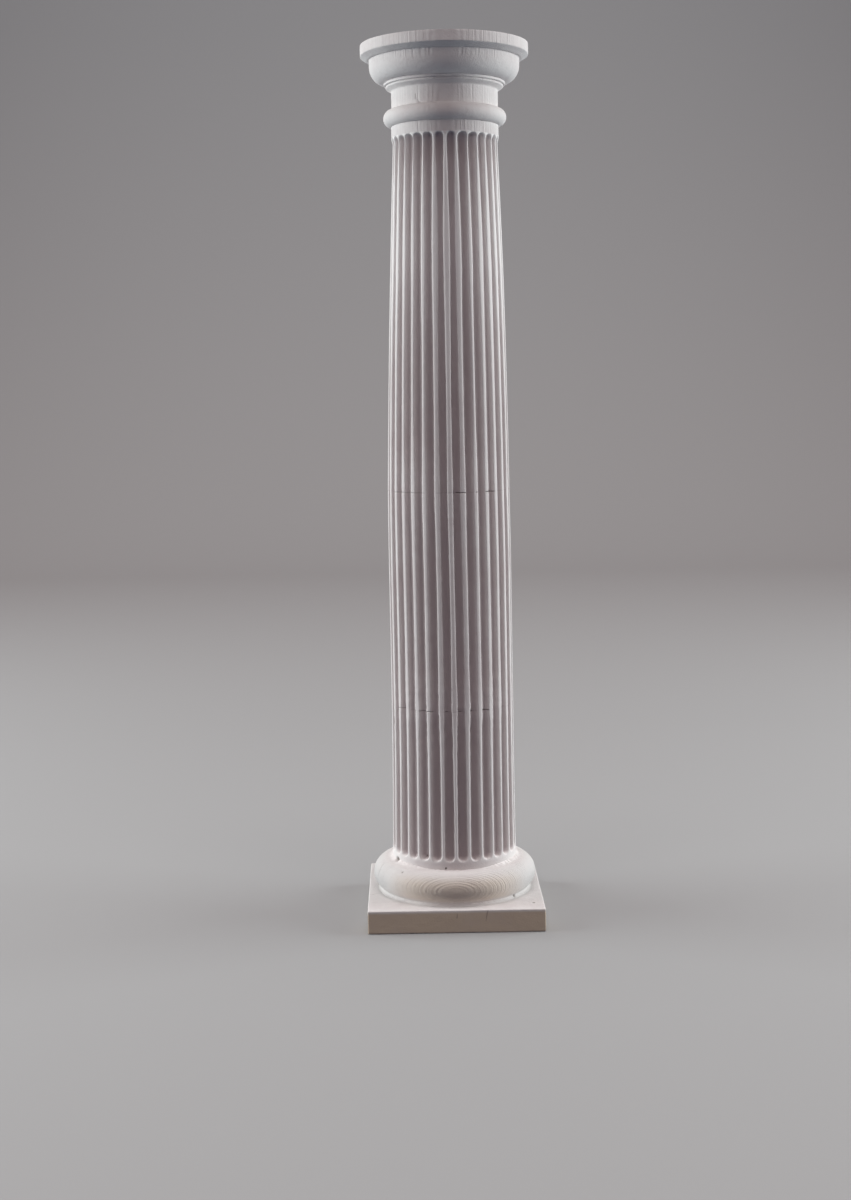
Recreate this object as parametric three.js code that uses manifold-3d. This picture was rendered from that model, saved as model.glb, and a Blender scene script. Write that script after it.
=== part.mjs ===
import * as THREE from 'three';
import { mergeVertices } from 'three/addons/utils/BufferGeometryUtils.js';
import Module from 'manifold-3d';

// Doric column at model scale, cast in three pieces that stand one on another.
// Millimetres, +Z up, origin at the centre of the underside, one land of the flutes faces -Y.

// Height of each cast piece
const LOWER_PIECE_HEIGHT = 37.5;
const MIDDLE_DRUM_HEIGHT = 37.5;
const UPPER_PIECE_HEIGHT = 75;

// Shaft: radius of the lands at the foot, at the belly and under the collar
const SHAFT_FOOT_R = 10.99;
const SHAFT_BELLY_R = 10.72;
const SHAFT_BELLY_HEIGHT = 60;
const SHAFT_TOP_R = 8.88;
const FOOT_FLARE_POWER = 3;
const ENTASIS_POWER = 1.7;
const PLAIN_FOOT_HEIGHT = 1.6;

// Torus: a half round that stands out from the foot of the shaft
const TORUS_PROJECTION = 3.41;
const TORUS_HEIGHT = 5.65;

// Plinth: square, standing out a little from the torus
const PLINTH_MARGIN = 0.9;
const PLINTH_HEIGHT = 4.1;
const PLINTH_EDGE = 0.25;
const PLINTH_CORNER_R = 0.35;

// Flutes: width as a share of the pitch, depth as a share of the half width
const FLUTE_COUNT = 30;
const FLUTE_SHARE = 0.7;
const FLUTE_DEPTH_SHARE = 0.95;
const FLUTE_TOP_CLEARANCE = 0.1;

// Capital, radii: each moulding by how far it stands out from the one before it
const COLLAR_STEP = 0.25;
const NECK_INSET = 0.08;
const BEAD_PROJECTION = 1.42;
const SECOND_ANNULET_PROJECTION = 0.93;
const FIRST_ANNULET_PROJECTION = 0.32;
const OVOLO_PROJECTION = 2.45;
const SOFFIT_WIDTH = 0.35;
const ABACUS_SLANT_WIDTH = 1.13;
const ABACUS_EDGE = 0.25;

// Capital, heights from the top of the abacus downwards
const ABACUS_HEIGHT = 1.8;
const ABACUS_SLANT_HEIGHT = 0.7;
const OVOLO_BAND_HEIGHT = 0.9;
const OVOLO_CURVE_HEIGHT = 2.85;
const FIRST_ANNULET_HEIGHT = 0.45;
const SECOND_ANNULET_HEIGHT = 0.35;
const NECK_COVE_HEIGHT = 0.55;
const NECK_HEIGHT = 3.0;
const BEAD_HEIGHT = 2.84;
const COLLAR_HEIGHT = 1.9;

// Facets
const SHAFT_SEGMENTS = 60;
const MOULDING_SEGMENTS = 40;
const FLUTE_SEGMENTS = 4;
const FLUTE_END_STEPS = 2;
const TORUS_STEPS = 8;
const BEAD_STEPS = 6;
const OVOLO_STEPS = 5;
const CORNER_STEPS = 3;
const LOWER_LEVELS = 2;
const MIDDLE_LEVELS = 1;
const UPPER_LEVELS = 4;

// How far joined solids of one casting run into each other, and cutters past a face
const OVERLAP = 0.4;
// Points closer than this are one point
const SAME_POINT = 1e-5;

const COLOUR_PLASTER = 0xe6e2dc;

const wasm = await Module();
wasm.setup();

// Levels that follow from the heights
const lowerJointZ = LOWER_PIECE_HEIGHT;
const upperJointZ = lowerJointZ + MIDDLE_DRUM_HEIGHT;
const columnTopZ = upperJointZ + UPPER_PIECE_HEIGHT;
const torusTopZ = PLINTH_HEIGHT + TORUS_HEIGHT;
const fluteFootZ = torusTopZ + PLAIN_FOOT_HEIGHT;
const abacusFootZ = columnTopZ - ABACUS_HEIGHT;
const soffitZ = abacusFootZ - ABACUS_SLANT_HEIGHT;
const ovoloBandFootZ = soffitZ - OVOLO_BAND_HEIGHT;
const ovoloFootZ = ovoloBandFootZ - OVOLO_CURVE_HEIGHT;
const firstAnnuletFootZ = ovoloFootZ - FIRST_ANNULET_HEIGHT;
const secondAnnuletFootZ = firstAnnuletFootZ - SECOND_ANNULET_HEIGHT;
const neckTopZ = secondAnnuletFootZ - NECK_COVE_HEIGHT;
const beadTopZ = neckTopZ - NECK_HEIGHT;
const collarTopZ = beadTopZ - BEAD_HEIGHT;
const collarFootZ = collarTopZ - COLLAR_HEIGHT;
const fluteTopZ = collarFootZ - FLUTE_TOP_CLEARANCE;

// Radii that follow from the shaft
const torusR = SHAFT_FOOT_R + TORUS_PROJECTION;
const plinthHalf = torusR + PLINTH_MARGIN;
const collarR = SHAFT_TOP_R + COLLAR_STEP;
const neckR = collarR - NECK_INSET;
const beadR = neckR + BEAD_PROJECTION;
const secondAnnuletR = neckR + SECOND_ANNULET_PROJECTION;
const firstAnnuletR = secondAnnuletR + FIRST_ANNULET_PROJECTION;
const ovoloR = firstAnnuletR + OVOLO_PROJECTION;
const soffitR = ovoloR + SOFFIT_WIDTH;
const abacusR = soffitR + ABACUS_SLANT_WIDTH;

const pitch = (2 * Math.PI) / FLUTE_COUNT;
const quarterTurn = Math.PI / 2;

// Radius of the lands at a height: a slight flare at the foot, a belly, then the entasis.
function shaftRadius(z) {
  if (z < SHAFT_BELLY_HEIGHT) {
    const t = Math.min(1, (SHAFT_BELLY_HEIGHT - z) / (SHAFT_BELLY_HEIGHT - fluteFootZ));
    return SHAFT_BELLY_R + (SHAFT_FOOT_R - SHAFT_BELLY_R) * Math.pow(t, FOOT_FLARE_POWER);
  }
  const t = (z - SHAFT_BELLY_HEIGHT) / (fluteTopZ - SHAFT_BELLY_HEIGHT);
  return SHAFT_BELLY_R - (SHAFT_BELLY_R - SHAFT_TOP_R) * Math.pow(t, ENTASIS_POWER);
}

function fluteHalfWidth(z) {
  return shaftRadius(z) * Math.sin((pitch * FLUTE_SHARE) / 2);
}

function toManifold(geometry) {
  const bare = geometry.clone();
  bare.deleteAttribute('normal');
  bare.deleteAttribute('uv');
  const merged = mergeVertices(bare, SAME_POINT);
  return new wasm.Manifold(new wasm.Mesh({
    numProp: 3,
    vertProperties: new Float32Array(merged.attributes.position.array),
    triVerts: new Uint32Array(merged.index.array),
  }));
}

function toGeometry(solid) {
  const mesh = solid.getMesh();
  const geometry = new THREE.BufferGeometry();
  geometry.setAttribute('position', new THREE.BufferAttribute(mesh.vertProperties, 3));
  geometry.setIndex(new THREE.BufferAttribute(mesh.triVerts, 1));
  geometry.computeVertexNormals();
  return geometry;
}

// A turned body from [radius, z] points listed upwards, starting and ending on the axis.
function turned(points, segments) {
  const outline = points.map(([r, z]) => new THREE.Vector2(r, z));
  const geometry = new THREE.LatheGeometry(outline, segments);
  geometry.rotateX(quarterTurn);
  return toManifold(geometry);
}

// A body through closed rings of equal length, each listed counter-clockwise from above.
function lofted(rings) {
  const count = rings[0].length;
  const index = [];
  for (let row = 0; row < rings.length - 1; row += 1) {
    for (let i = 0; i < count; i += 1) {
      const a = row * count + i;
      const b = row * count + ((i + 1) % count);
      index.push(a, b, b + count);
      index.push(a, b + count, a + count);
    }
  }
  const contour = rings[0].map((point) => new THREE.Vector2(point[0], point[1]));
  const last = (rings.length - 1) * count;
  for (const [a, b, c] of THREE.ShapeUtils.triangulateShape(contour, [])) {
    index.push(a, c, b);
    index.push(last + a, last + b, last + c);
  }
  const geometry = new THREE.BufferGeometry();
  geometry.setAttribute('position', new THREE.Float32BufferAttribute(rings.flat(2), 3));
  geometry.setIndex(index);
  return toManifold(geometry);
}

// One level of the plinth: a square with rounded corners.
function squareRing(half, z) {
  const ring = [];
  const centre = half - PLINTH_CORNER_R;
  for (let side = 0; side < 4; side += 1) {
    const cornerX = centre * (side === 0 || side === 3 ? 1 : -1);
    const cornerY = centre * (side < 2 ? 1 : -1);
    for (let step = 0; step <= CORNER_STEPS; step += 1) {
      const angle = (side + step / CORNER_STEPS) * quarterTurn;
      ring.push([
        cornerX + PLINTH_CORNER_R * Math.cos(angle),
        cornerY + PLINTH_CORNER_R * Math.sin(angle),
        z,
      ]);
    }
  }
  return ring;
}

function plinth() {
  return lofted([
    squareRing(plinthHalf, 0),
    squareRing(plinthHalf, PLINTH_HEIGHT - PLINTH_EDGE),
    squareRing(plinthHalf - PLINTH_EDGE, PLINTH_HEIGHT),
  ]);
}

function torus() {
  const half = TORUS_HEIGHT / 2;
  const centreR = torusR - half;
  const points = [[0, PLINTH_HEIGHT - OVERLAP], [centreR, PLINTH_HEIGHT - OVERLAP]];
  for (let step = 0; step <= TORUS_STEPS; step += 1) {
    const angle = -quarterTurn + (step / TORUS_STEPS) * Math.PI;
    points.push([
      centreR + half * Math.cos(angle),
      PLINTH_HEIGHT + half + half * Math.sin(angle),
    ]);
  }
  points.push([0, torusTopZ]);
  return turned(points, MOULDING_SEGMENTS);
}

// Cross-section of one flute at a level. The scale narrows it near its rounded ends.
// The arc hangs between the two arrises, and the two outer points stand clear of the shaft.
function fluteRing(azimuth, z, scale) {
  const radius = shaftRadius(z);
  const halfWidth = fluteHalfWidth(z) * scale;
  const depth = halfWidth * FLUTE_DEPTH_SHARE;
  const arcR = (halfWidth * halfWidth + depth * depth) / (2 * depth);
  const chord = Math.sqrt(radius * radius - halfWidth * halfWidth);
  const arcCentre = chord - depth + arcR;
  const sweep = Math.asin(Math.min(1, halfWidth / arcR));
  const section = [];
  section.push([-halfWidth, radius + OVERLAP]);
  section.push([halfWidth, radius + OVERLAP]);
  for (let i = FLUTE_SEGMENTS; i >= 0; i -= 1) {
    const angle = -sweep + (2 * sweep * i) / FLUTE_SEGMENTS;
    section.push([arcR * Math.sin(angle), arcCentre - arcR * Math.cos(angle)]);
  }
  const cos = Math.cos(azimuth);
  const sin = Math.sin(azimuth);
  return section.map(([across, out]) => [
    across * cos + out * sin,
    across * sin - out * cos,
    z,
  ]);
}

// Rings of a half-round flute end, from the tip at a level towards the full width.
function fluteEnd(azimuth, tipZ, direction) {
  const rings = [];
  const length = fluteHalfWidth(tipZ);
  for (let step = 1; step <= FLUTE_END_STEPS; step += 1) {
    const angle = (step / (FLUTE_END_STEPS + 1)) * quarterTurn;
    const z = tipZ + direction * length * (1 - Math.cos(angle));
    rings.push(fluteRing(azimuth, z, Math.sin(angle)));
  }
  rings.push(fluteRing(azimuth, tipZ + direction * length, 1));
  return rings;
}

// A cutter for one flute through all levels, closed by a half-round end where asked.
function fluteCutter(azimuth, levels, roundFoot, roundTop) {
  const foot = levels[0];
  const top = levels[levels.length - 1];
  const footRings = roundFoot
    ? fluteEnd(azimuth, foot, 1)
    : [fluteRing(azimuth, foot - OVERLAP, 1)];
  const topRings = roundTop
    ? fluteEnd(azimuth, top, -1).reverse()
    : [fluteRing(azimuth, top + OVERLAP, 1)];
  const middle = levels.slice(1, -1).map((z) => fluteRing(azimuth, z, 1));
  return lofted([...footRings, ...middle, ...topRings]);
}

// A length of fluted shaft between two levels.
function shaftPiece(bottomZ, topZ, levels, roundFoot, roundTop) {
  const between = levels.filter((z) => z > bottomZ && z < topZ);
  const heights = [bottomZ, ...between, topZ];
  const points = [
    [0, bottomZ],
    ...heights.map((z) => [shaftRadius(z), z]),
    [0, topZ],
  ];
  let solid = turned(points, SHAFT_SEGMENTS);
  for (let i = 0; i < FLUTE_COUNT; i += 1) {
    const azimuth = (i + 0.5) * pitch;
    solid = solid.subtract(fluteCutter(azimuth, levels, roundFoot, roundTop));
  }
  return solid;
}

function evenLevels(from, to, count) {
  const levels = [];
  for (let i = 0; i <= count; i += 1) {
    levels.push(from + ((to - from) * i) / count);
  }
  return levels;
}

// The bead's half round, from the collar up to the neck.
function beadPoints() {
  const half = BEAD_HEIGHT / 2;
  const points = [];
  for (let step = 0; step <= BEAD_STEPS; step += 1) {
    const angle = -quarterTurn + (step / BEAD_STEPS) * Math.PI;
    const innerR = angle < 0 ? collarR : neckR;
    points.push([
      innerR + (beadR - innerR) * Math.cos(angle),
      collarTopZ + half + half * Math.sin(angle),
    ]);
  }
  return points;
}

// The ovolo's quarter round, from above the first annulet out to its upright band.
function ovoloPoints() {
  const points = [];
  for (let step = 1; step <= OVOLO_STEPS; step += 1) {
    const angle = (step / OVOLO_STEPS) * quarterTurn;
    points.push([
      firstAnnuletR + OVOLO_PROJECTION * Math.sin(angle),
      ovoloBandFootZ - OVOLO_CURVE_HEIGHT * Math.cos(angle),
    ]);
  }
  return points;
}

// Collar, bead, neck, two annulets, ovolo and round abacus, listed upwards.
function capital() {
  return turned([
    [0, collarFootZ],
    [collarR, collarFootZ],
    ...beadPoints(),
    [neckR, neckTopZ],
    [secondAnnuletR, secondAnnuletFootZ],
    [secondAnnuletR, firstAnnuletFootZ],
    [firstAnnuletR, firstAnnuletFootZ],
    [firstAnnuletR, ovoloFootZ],
    ...ovoloPoints(),
    [ovoloR, soffitZ],
    [soffitR, soffitZ],
    [abacusR, abacusFootZ],
    [abacusR, columnTopZ - ABACUS_EDGE],
    [abacusR - ABACUS_EDGE, columnTopZ],
    [0, columnTopZ],
  ], MOULDING_SEGMENTS);
}

function lowerPiece() {
  const levels = evenLevels(fluteFootZ, lowerJointZ, LOWER_LEVELS);
  const shaft = shaftPiece(torusTopZ - OVERLAP, lowerJointZ, levels, true, false);
  return plinth().add(torus()).add(shaft);
}

function middleDrum() {
  const levels = evenLevels(lowerJointZ, upperJointZ, MIDDLE_LEVELS);
  return shaftPiece(lowerJointZ, upperJointZ, levels, false, false);
}

function upperPiece() {
  const levels = evenLevels(upperJointZ, fluteTopZ, UPPER_LEVELS);
  const shaft = shaftPiece(upperJointZ, collarFootZ + OVERLAP, levels, false, true);
  return shaft.add(capital());
}

const column = new THREE.Group();
column.name = 'doric_column';

function addPiece(name, solid) {
  const plaster = new THREE.MeshStandardMaterial({
    color: COLOUR_PLASTER,
    roughness: 0.85,
    metalness: 0,
  });
  const mesh = new THREE.Mesh(toGeometry(solid), plaster);
  mesh.name = name;
  column.add(mesh);
}

addPiece('lower_piece', lowerPiece());
addPiece('middle_drum', middleDrum());
addPiece('upper_piece', upperPiece());

export default column;
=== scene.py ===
import math
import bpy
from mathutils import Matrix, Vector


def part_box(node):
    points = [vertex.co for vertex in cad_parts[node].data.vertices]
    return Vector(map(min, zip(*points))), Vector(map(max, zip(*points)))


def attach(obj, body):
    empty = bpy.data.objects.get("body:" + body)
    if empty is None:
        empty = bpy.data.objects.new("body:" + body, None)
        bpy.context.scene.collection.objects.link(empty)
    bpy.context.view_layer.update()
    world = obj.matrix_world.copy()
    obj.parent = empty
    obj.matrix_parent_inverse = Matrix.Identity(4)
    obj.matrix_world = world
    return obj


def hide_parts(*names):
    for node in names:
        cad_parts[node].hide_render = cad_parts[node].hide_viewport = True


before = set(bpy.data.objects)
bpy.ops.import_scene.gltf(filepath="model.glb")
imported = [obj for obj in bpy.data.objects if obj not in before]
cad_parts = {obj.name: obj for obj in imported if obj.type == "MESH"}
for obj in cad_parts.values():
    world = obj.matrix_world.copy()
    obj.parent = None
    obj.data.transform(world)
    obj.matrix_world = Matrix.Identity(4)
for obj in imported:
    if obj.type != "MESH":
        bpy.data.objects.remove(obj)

from types import SimpleNamespace

import bmesh
import bpy
import numpy as np
from mathutils import Matrix, Vector, noise

bl_info = {
    "name": "Cast plaster column",
    "version": (1, 0, 0),
    "blender": (4, 5, 0),
    "location": "View3D > Sidebar > Column",
    "description": "Builds the surfaces of a fluted column cast in plaster lengths, and its studio",
    "category": "Object",
}

MM = 0.001
TURN = 2 * math.pi
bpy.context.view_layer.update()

# The castings' boxes from the frame, and what they say of the joints and the widths
LOWER_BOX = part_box("lower_piece")
MIDDLE_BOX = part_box("middle_drum")
UPPER_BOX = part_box("upper_piece")
LOWER_JOINT = MIDDLE_BOX[0][2]
UPPER_JOINT = MIDDLE_BOX[1][2]
COLUMN_TOP = UPPER_BOX[1][2]
PLINTH_HALF = LOWER_BOX[1][0]
ABACUS_RADIUS = UPPER_BOX[1][0]

# Share of the pitch that a flute takes at a height in mm, less where lands were sanded down
FLUTE_WIDTHS = (
    (0, 0.77), (20, 0.76), (34, 0.68), (39, 0.58), (46, 0.63),
    (66, 0.64), (75, 0.59), (84, 0.65), (96, 0.62), (108, 0.53),
    (115, 0.47), (122, 0.53), (129, 0.64), (133, 0.76), (150, 0.77),
)

# Sides of the upper shaft where the lands stayed narrow: azimuth in degrees, and how local
NARROW_LANDS = ((-33, 16), (26, 70))
NARROWED_BY = 0.15

# How far the glued castings drift sideways from a true axis, height and drift in mm
AXIS_DRIFT = ((0, 0.05), (37.5, 0.06), (75, -0.13), (112.5, 0.05), (150, 0.05))

# Open stretches of the two joints: azimuth and half width in degrees, depth in mm
UPPER_GAPS = (
    (10.5, 5.5, 0.16),
    (26, 1.6, 0.12),
    (41, 6.5, 0.14),
    (65, 2, 0.1),
    (-46, 20, 0.05),
    (110, 12, 0.1),
    (158, 9, 0.12),
    (-118, 14, 0.09),
    (-160, 6, 0.12),
)
LOWER_GAPS = (
    (-27, 7.5, 0.1),
    (-7, 1.6, 0.1),
    (6, 1.6, 0.1),
    (17, 1.6, 0.12),
    (32, 3, 0.18),
    (41, 1.6, 0.12),
    (-60, 9, 0.07),
    (96, 10, 0.12),
    (140, 7, 0.1),
    (-104, 8, 0.12),
    (-150, 11, 0.09),
)

# Dents on the round pieces: azimuth in degrees, then height, half width, half height, depth in mm
SHAFT_DENTS = (
    (-9.2, 10.12, 0.17, 0.24, 0.3),
    (-40.8, 12.1, 0.25, 0.32, 0.3),
    (-29.2, 11.9, 0.18, 0.2, 0.25),
    (-66.8, 10.2, 0.95, 0.6, 0.17),
    (-72.6, 34.9, 0.2, 0.8, 0.1),
    (-73.6, 30.4, 0.18, 1.1, 0.08),
    (-74.6, 25.9, 0.2, 0.6, 0.1),
    (118, 22, 0.3, 0.5, 0.12),
    (172, 48, 0.22, 0.6, 0.1),
    (-133, 61, 0.25, 0.45, 0.12),
    (84, 96, 0.2, 0.7, 0.09),
    (-155, 88, 0.25, 0.4, 0.1),
    (150, 10.3, 0.25, 0.25, 0.25),
)
MOULDING_DENTS = (
    (-44.7, 9.22, 0.16, 0.16, 0.2),
    (16.6, 8.37, 0.13, 0.13, 0.16),
    (49.7, 4.45, 0.35, 0.3, 0.25),
    (131, 8.8, 0.2, 0.2, 0.2),
    (-152, 5.3, 0.3, 0.3, 0.2),
    (123, 148.9, 0.3, 0.3, 0.12),
    (-140, 138, 0.22, 0.22, 0.12),
)

# Place where the plaster in the crease on the torus broke away: azimuth and half width
CREASE_CHIP = (-66.8, 4.5)

# Scratches on the round mouldings: azimuth and height of both ends, half width, depth in mm
MOULDING_SCRATCHES = (
    (-33.2, 140.9, -32.8, 140.2, 0.16, 0.07),
    (-31.2, 140, -29.6, 139.65, 0.14, 0.05),
    (-29.6, 139.65, -27.6, 139.5, 0.17, 0.08),
    (31.2, 145.5, 31.2, 147.3, 0.1, 0.06),
    (-70.8, 7.2, -71.2, 8.45, 0.11, 0.09),
    (-71.2, 8.45, -74.4, 9.3, 0.11, 0.09),
    (112, 143.2, 118, 145.6, 0.11, 0.06),
    (-166, 6.4, -158, 7.4, 0.12, 0.07),
)

# Air bubbles and raised crumbs (a negative depth) on the plinth: x, y, z, half sizes, depth
PLINTH_DENTS = (
    (13.36, -11.54, 4.1, 0.36, 0.24, 0.5, 0.25),
    (8.7, -9.85, 4.1, 0.4, 0.3, 0.5, 0.25),
    (9.6, -8.9, 4, 0.65, 0.4, 0.6, -0.22),
    (-9, 13.2, 4.1, 0.25, 0.25, 0.5, 0.18),
    (15.3, 6, 2.2, 0.5, 0.22, 0.22, 0.15),
    (3.5, 15.3, 1.8, 0.25, 0.5, 0.2, 0.15),
)

# Scratches and a crack on the plinth: both ends in mm, half width, depth
PLINTH_SCRATCHES = (
    ((-15.3, -5.38, 4.1), (-12.3, -4.03, 4.1), 0.1, 0.1),
    ((5.32, -15.3, 3.95), (4.95, -15.3, 2.1), 0.09, 0.08),
    ((0.05, -15.3, 3.3), (0, -15.3, 2.6), 0.08, 0.06),
    ((15.3, -3, 3.4), (15.3, -5.4, 2.5), 0.09, 0.06),
    ((-6.2, 15.3, 1.2), (-4, 15.3, 2.9), 0.09, 0.06),
)


def setting(kind, convert=lambda value: value, **fixed):
    """A maker of properties of one kind, each from its name, description and default."""
    def make(name, description, value):
        return kind(name=name, description=description, default=convert(value), **fixed)
    return make


length = setting(bpy.props.FloatProperty, lambda value: value * MM, min=0, precision=5,
                 unit="LENGTH", subtype="DISTANCE")
share = setting(bpy.props.FloatProperty, min=0, max=1, subtype="FACTOR")
turn = setting(bpy.props.FloatProperty, math.radians, unit="ROTATION", subtype="ANGLE")
number = setting(bpy.props.FloatProperty)
whole = setting(bpy.props.IntProperty, min=1)
colour = setting(bpy.props.FloatVectorProperty, size=4, min=0, max=1, subtype="COLOR")


class ShaftSizes(bpy.types.PropertyGroup):
    """Sizes of the fluted shaft."""

    foot_radius: length("Foot radius", "Radius of the lands at the foot", 10.99)
    belly_radius: length("Belly radius", "Radius of the lands at the belly", 10.72)
    belly_height: length("Belly height", "Height where the taper starts", 60)
    top_radius: length("Top radius", "Radius of the lands under the collar", 8.88)
    foot_flare: number("Foot flare", "Power of the flare at the foot", 3.0)
    entasis: number("Entasis", "Power of the taper above the belly", 1.7)
    flute_count: whole("Flutes", "Number of flutes round the shaft", 30)
    flute_foot: length("Flute foot", "Height of the flutes' lower ends", 11.35)
    flute_top: length("Flute top", "Height of the flutes' upper ends", 134.62)
    depth_share: share("Flute depth", "Depth as a share of the half width", 0.95)
    squareness: number("Flute squareness", "Power of the section, 2 for an ellipse", 3.0)
    arris_radius: length("Arris radius", "Rounding of the edges of the lands", 0.20)
    wobble: share("Arris wobble", "Unevenness of the arrises as a share of the pitch", 0.05)
    collar_step: length("Collar step", "How far the collar stands out from the lands", 0.25)
    collar_rise: length("Collar rise", "Height over which the lands meet the collar", 1.2)
    unevenness: length("Unevenness", "Height of the sanded surface's slow waves", 0.03)
    lean: turn("Lean", "How far the flutes turn from the foot to the head", 2.0)
    spread: turn("Spread", "How far the flutes on one side stand apart", 1.3)


class BaseSizes(bpy.types.PropertyGroup):
    """Sizes of the plinth and the torus."""

    plinth_height: length("Plinth height", "Height of the square plinth", 4.1)
    plinth_edge: length("Plinth edge", "Rounding of the plinth's edges", 0.28)
    torus_radius: length("Torus radius", "Largest radius of the torus", 14.4)
    torus_height: length("Torus height", "Height of the torus", 5.65)
    foot_fill: length("Foot filling", "Height of the plaster that fills the torus's foot", 0.55)


class CapitalSizes(bpy.types.PropertyGroup):
    """Sizes of the capital, heights from its top downwards."""

    collar_radius: length("Collar radius", "Radius of the plain collar", 9.13)
    neck_radius: length("Neck radius", "Radius of the neck", 9.05)
    bead_radius: length("Bead radius", "Largest radius of the bead", 10.47)
    second_annulet: length("Second annulet", "Radius of the lower annulet", 9.98)
    first_annulet: length("First annulet", "Radius of the upper annulet", 10.3)
    ovolo_radius: length("Ovolo radius", "Largest radius of the ovolo", 12.75)
    soffit_width: length("Soffit width", "Flat ring outside the ovolo", 0.35)
    abacus_height: length("Abacus height", "Height of the abacus face", 1.8)
    slant_height: length("Slant height", "Height of the slanted underside", 0.7)
    band_height: length("Ovolo band", "Upright part of the ovolo", 0.9)
    curve_height: length("Ovolo curve", "Curved part of the ovolo", 2.85)
    first_height: length("First annulet height", "Height of the upper annulet", 0.45)
    second_height: length("Second annulet height", "Height of the lower annulet", 0.35)
    cove_height: length("Cove height", "Cove between annulets and neck", 0.55)
    neck_height: length("Neck height", "Height of the neck", 3.0)
    bead_height: length("Bead height", "Height of the bead", 2.84)
    collar_height: length("Collar height", "Height of the collar", 1.9)


class PlasterLook(bpy.types.PropertyGroup):
    """Colours and relief of the cast plaster."""

    clean: colour("Plaster", "Clean sanded plaster", (0.82, 0.78, 0.77, 1))
    dull: colour("Dull plaster", "Slightly darker patches", (0.74, 0.675, 0.67, 1))
    soil: colour("Soil", "Inside gaps and air bubbles", (0.17, 0.145, 0.13, 1))
    # Recess colour: painted shade in the hollows of the flutes, on the front of the shaft's foot
    # and in lines along the printed steps
    recess: colour("Recess", "Unsanded hollows of the flutes", (0.54, 0.476, 0.478, 1))
    # Stain colour: a stain on the plinth's sides, and warm painted shade on the front of the plinth
    # and torus
    stain: colour("Stain", "Stained sides of the plinth", (0.63, 0.52, 0.40, 1))
    # Dust colour: grey dust and painted shade that darken the base
    dust: colour("Dust", "Dust on the base", (0.615, 0.61, 0.60, 1))
    # Fresh colour: painted highlight on the lands of the shaft near its head and foot
    fresh: colour("Fresh plaster", "Lands that were sanded last", (0.92, 0.885, 0.875, 1))
    roughness: share("Roughness", "Roughness of the plaster", 0.86)
    layer_height: length("Layer height", "Width of the steps left by the printed master", 0.17)
    layer_depth: length("Layer depth", "Depth of those steps", 0.105)
    grain_depth: length("Grain depth", "Depth of the fine grain", 0.03)


class StudioSizes(bpy.types.PropertyGroup):
    """Floor, lights and dim glow of the studio."""

    floor: colour("Floor", "Floor and backdrop", (0.36, 0.362, 0.365, 1))
    side_power: number("Side lights", "Power of each in watts", 2.17)
    top_power: number("Top light", "Power in watts", 7.0)
    wash_power: number("Backdrop light", "Power in watts", 1.2)
    above: colour("Glow from above", "Dim light from all round above", (0.275, 0.216, 0.212, 1))
    below: colour("Glow from below", "Dim light from all round below", (0.022, 0.036, 0.066, 1))


def math_method(operation, flipped=False):
    """A method of a term that adds a Math node, with the term itself last when flipped."""
    def method(self, *others):
        return self.tree.maths(operation, *((*others, self) if flipped else (self, *others)))
    return method


class Term:
    """A node's output that can stand in an expression: each operator adds its Math node."""

    __add__ = __radd__ = math_method("ADD")
    __sub__ = math_method("SUBTRACT")
    __rsub__ = math_method("SUBTRACT", flipped=True)
    __mul__ = __rmul__ = math_method("MULTIPLY")
    __truediv__ = math_method("DIVIDE")
    __rtruediv__ = math_method("DIVIDE", flipped=True)
    __pow__ = math_method("POWER")
    __lt__ = math_method("LESS_THAN")
    __gt__ = math_method("GREATER_THAN")
    largest = math_method("MAXIMUM")
    smallest = math_method("MINIMUM")
    square_root = math_method("SQRT")
    rounded = math_method("ROUND")
    floored = math_method("FLOOR")
    remainder = math_method("FLOORED_MODULO")
    sine = math_method("SINE")
    cosine = math_method("COSINE")

    def __init__(self, tree, socket):
        self.tree = tree
        self.socket = socket

    def output(self, name):
        return Term(self.tree, self.socket.node.outputs[name])

    def limited(self):
        return self.largest(0.0).smallest(1.0)

    def eased(self, low, high):
        """0 below low, 1 above high and a smooth step between them."""
        values = {"Value": self, "From Min": low, "From Max": high}
        return self.tree.add("ShaderNodeMapRange", {"interpolation_type": "SMOOTHSTEP"}, values)

    def between(self, rise, fall):
        """1 between two levels, with a smooth step at both."""
        return self.eased(*rise) * (1 - self.eased(*fall))

    def either(self, when_one, when_zero):
        """One of two values, by a mask of 0 or 1."""
        return self * when_one + (1 - self) * when_zero


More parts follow.
